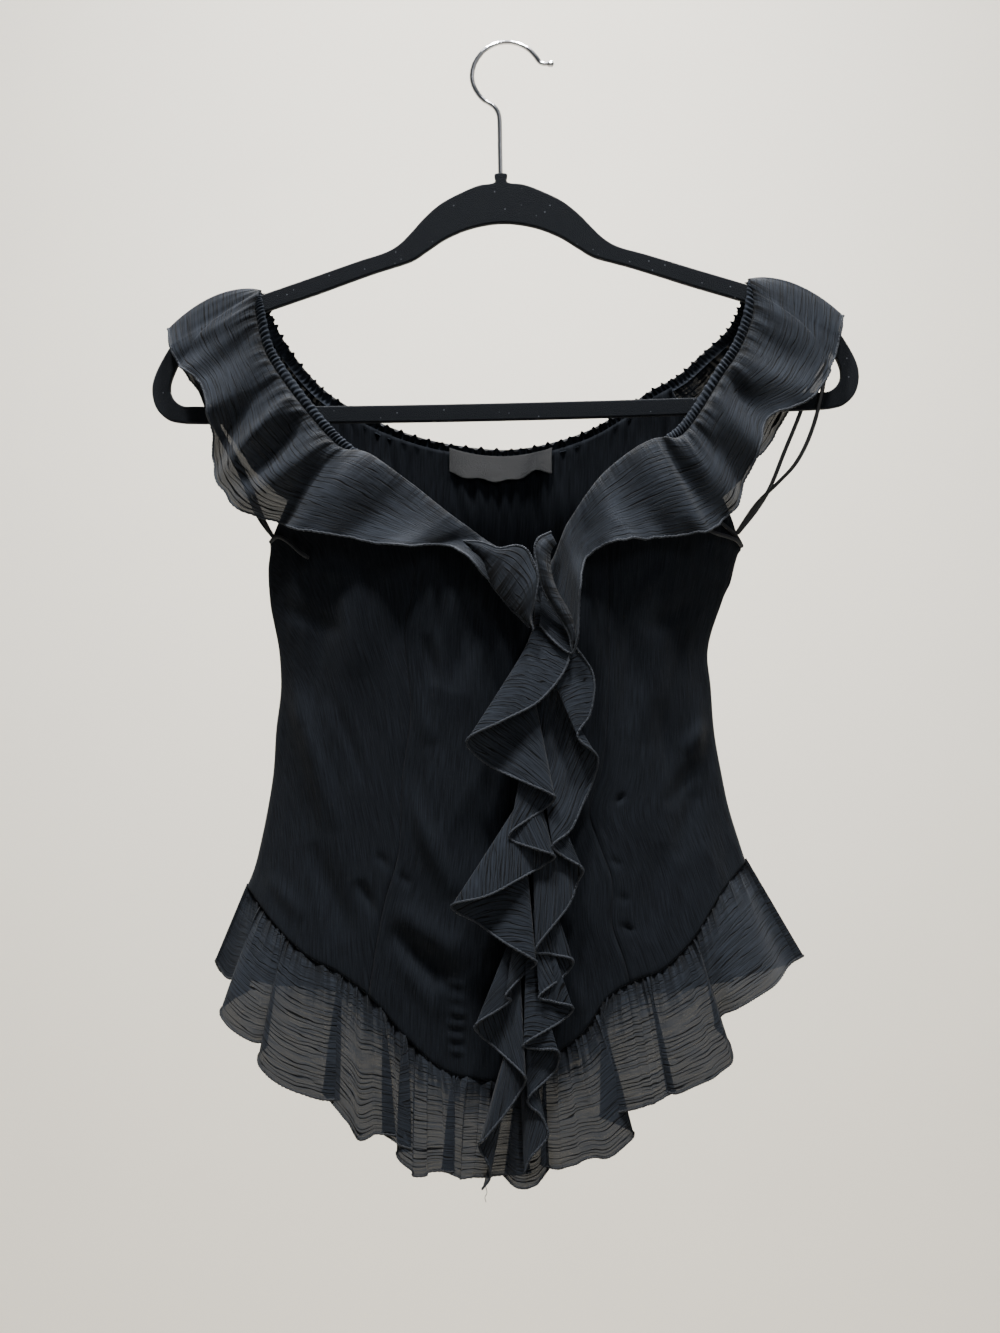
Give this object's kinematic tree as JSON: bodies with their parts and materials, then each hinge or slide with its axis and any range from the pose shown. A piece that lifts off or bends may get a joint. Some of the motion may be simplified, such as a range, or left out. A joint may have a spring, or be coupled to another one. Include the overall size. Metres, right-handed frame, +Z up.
{
  "type": "ruffle top on hanger",
  "caption": "Off-shoulder peplum top in black crinkled chiffon with a collar ruffle, front frill and hem ruffle, on a slim flocked hanger",
  "frame": {"origin": "inside of the crown of the hanger's hook, where a rod or wall hook holds it", "axes": "+Z up, -Y out of the garment's front, +X to the right as seen from the front"},
  "size_m": [0.4455, 0.1105, 0.7054],
  "materials": {
    "lined_crepe": "crinkled chiffon over an opaque lining",
    "crinkle_chiffon": "sheer crinkled single layer",
    "ruched_casing": "gathered over elastic",
    "woven_label": "bare woven label",
    "satin_ribbon": "thin satin ribbon",
    "black_flock": "short flock",
    "plated_wire": "polished plated wire"
  },
  "bodies": {
    "root": {"front_side_left": "lined_crepe", "front_centre_left": "lined_crepe", "front_centre_right": "lined_crepe", "front_side_right": "lined_crepe", "back_side_left": "lined_crepe", "back_centre": "lined_crepe", "back_side_right": "lined_crepe", "collar_ruffle": "crinkle_chiffon", "frill_left": "crinkle_chiffon", "frill_right": "crinkle_chiffon", "hem_ruffle_left": "crinkle_chiffon", "hem_ruffle_right": "crinkle_chiffon", "hem_ruffle_back": "crinkle_chiffon", "neck_elastic": "ruched_casing", "neck_label": "woven_label", "hang_loop_left": "satin_ribbon", "hang_loop_right": "satin_ribbon", "hanger_frame": "black_flock", "hanger_hook": "plated_wire"}
  },
  "joints": []
}
